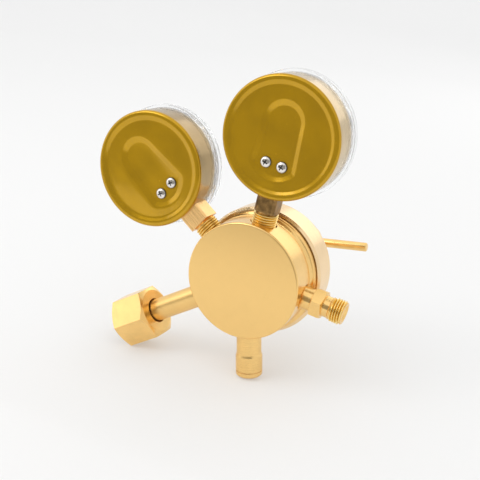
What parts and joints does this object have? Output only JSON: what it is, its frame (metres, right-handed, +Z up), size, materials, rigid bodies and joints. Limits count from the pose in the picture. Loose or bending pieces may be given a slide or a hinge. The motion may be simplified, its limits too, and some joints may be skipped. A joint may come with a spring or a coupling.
{
  "type": "air pressure regulator",
  "caption": "Brass single-stage gas pressure regulator with domed bonnet, tee-bar adjusting screw, dial gauges, swivel inlet nut, threaded outlet and relief valve.",
  "frame": {"origin": "centre of the body's flat back face", "axes": "+Y along the body axis, out of the flat back face; the tee bar is at -Y. +Z up, with the relief valve pointing down along -Z. +X towards the inlet side."},
  "size_m": [0.1429, 0.1081, 0.1651],
  "materials": {
    "turned_brass": "satin turned",
    "bonnet_brass": "bright satin",
    "inner_brass": "machined",
    "plain_steel": "zinc plated",
    "spring_steel": "oiled",
    "rubber": "matt",
    "nylon": "matt",
    "sintered_bronze": "grainy",
    "case_lacquer": "gloss gold lacquer on pressed steel",
    "clear_plastic": "clear moulded",
    "dial_white": "matt white with black graduations",
    "pointer_black": "matt black",
    "movement_brass": "stamped",
    "tube_bronze": "drawn",
    "bright_nickel": "bright",
    "stem_brass": "milled",
    "stem_nickel": "dull nickel plate"
  },
  "bodies": {
    "regulator": {"body": "turned_brass", "bonnet": "bonnet_brass", "range_spring": "spring_steel", "diaphragm": "rubber", "slip_ring": "inner_brass", "seat_nozzle": "inner_brass", "nozzle_seal": "rubber", "poppet_spring": "spring_steel", "inlet_nipple": "turned_brass", "inlet_filter": "sintered_bronze", "outlet_fitting": "turned_brass", "relief_body": "turned_brass", "relief_cap": "turned_brass", "relief_spring": "spring_steel", "supply_gauge_case": "case_lacquer", "supply_gauge_lens": "clear_plastic", "supply_lens_gasket": "rubber", "supply_dial": "dial_white", "supply_bourdon_tube": "tube_bronze", "supply_back_plate": "movement_brass", "supply_front_plate": "movement_brass", "supply_pillars": "movement_brass", "supply_gauge_socket": "stem_brass", "supply_back_screws": "bright_nickel", "delivery_gauge_case": "case_lacquer", "delivery_gauge_lens": "clear_plastic", "delivery_lens_gasket": "rubber", "delivery_dial": "dial_white", "delivery_bourdon_tube": "tube_bronze", "delivery_back_plate": "movement_brass", "delivery_front_plate": "movement_brass", "delivery_pillars": "movement_brass", "delivery_gauge_socket": "stem_nickel", "delivery_back_screws": "bright_nickel"},
    "feed": {"spring_button": "plain_steel"},
    "screw": {"adjusting_screw": "turned_brass", "tee_bar": "turned_brass"},
    "diaphragm_stack": {"diaphragm_plate": "plain_steel", "diaphragm_pusher": "inner_brass"},
    "poppet": {"poppet": "inner_brass", "poppet_seat": "nylon"},
    "relief_poppet": {"relief_poppet": "inner_brass", "relief_seal": "rubber"},
    "inlet_nut": {"inlet_nut": "turned_brass"},
    "supply_sector": {"supply_sector": "movement_brass"},
    "supply_pointer": {"supply_pointer": "pointer_black", "supply_pinion_staff": "movement_brass"},
    "supply_link": {"supply_link": "plain_steel"},
    "delivery_sector": {"delivery_sector": "movement_brass"},
    "delivery_pointer": {"delivery_pointer": "pointer_black", "delivery_pinion_staff": "movement_brass"},
    "delivery_link": {"delivery_link": "plain_steel"}
  },
  "joints": [
    {"name": "screw_feed", "type": "slide", "parent": "regulator", "child": "feed", "axis": [0, 1, 0], "range_m": [0, 0.00905], "deforming": ["range_spring"]},
    {"name": "screw_turn", "type": "hinge", "parent": "feed", "child": "screw", "pos_m": [0, -0.0943, 0], "axis": [0, 1, 0], "range_deg": [0, 2160]},
    {"name": "diaphragm_lift", "type": "slide", "parent": "regulator", "child": "diaphragm_stack", "axis": [0, 1, 0], "range_m": [0, 0.001], "stiffness_N_per_m": 2000, "springref_m": -0.0005, "deforming": ["diaphragm"]},
    {"name": "poppet_lift", "type": "slide", "parent": "regulator", "child": "poppet", "axis": [0, 1, 0], "range_m": [0, 0.00101], "deforming": ["poppet_spring"]},
    {"name": "relief_lift", "type": "slide", "parent": "regulator", "child": "relief_poppet", "axis": [0, 0, -1], "range_m": [0, 0.0015], "stiffness_N_per_m": 1000, "springref_m": -0.002, "deforming": ["relief_spring"]},
    {"name": "nut_swivel", "type": "hinge", "parent": "regulator", "child": "inlet_nut", "pos_m": [0.06689, -0.0075, -0.03119], "axis": [0.9063, 0, -0.4226], "continuous": true},
    {"name": "supply_sector_turn", "type": "hinge", "parent": "regulator", "child": "supply_sector", "pos_m": [0.04589, -0.0116, 0.04589], "axis": [0, -1, 0], "range_deg": [0, 33.75], "deforming": ["supply_bourdon_tube"]},
    {"name": "supply_pointer_turn", "type": "hinge", "parent": "regulator", "child": "supply_pointer", "pos_m": [0.05544, -0.0198, 0.05544], "axis": [0, 1, 0], "range_deg": [0, 270.1]},
    {"name": "supply_link_turn", "type": "hinge", "parent": "supply_sector", "child": "supply_link", "pos_m": [0.04941, -0.0128, 0.03927], "axis": [0, 1, 0], "range_deg": [0, 33.8]},
    {"name": "delivery_sector_turn", "type": "hinge", "parent": "regulator", "child": "delivery_sector", "pos_m": [-0.0168, -0.0116, 0.06269], "axis": [0, -1, 0], "range_deg": [0, 33.75], "deforming": ["delivery_bourdon_tube"]},
    {"name": "delivery_pointer_turn", "type": "hinge", "parent": "regulator", "child": "delivery_pointer", "pos_m": [-0.02029, -0.0198, 0.07573], "axis": [0, 1, 0], "range_deg": [0, 270.1]},
    {"name": "delivery_link_turn", "type": "hinge", "parent": "delivery_sector", "child": "delivery_link", "pos_m": [-0.0093, -0.0128, 0.06243], "axis": [0, 1, 0], "range_deg": [0, 33.8]}
  ],
  "couplings": [
    {"joint": "screw_feed", "follows": "screw_turn", "m_per_rad": 0.00023873},
    {"joint": "poppet_lift", "follows": "diaphragm_lift", "ratio": 1},
    {"joint": "supply_pointer_turn", "follows": "supply_sector_turn", "ratio": 8},
    {"joint": "supply_link_turn", "follows": "supply_sector_turn", "ratio": 1},
    {"joint": "delivery_pointer_turn", "follows": "delivery_sector_turn", "ratio": 8},
    {"joint": "delivery_link_turn", "follows": "delivery_sector_turn", "ratio": 1}
  ]
}
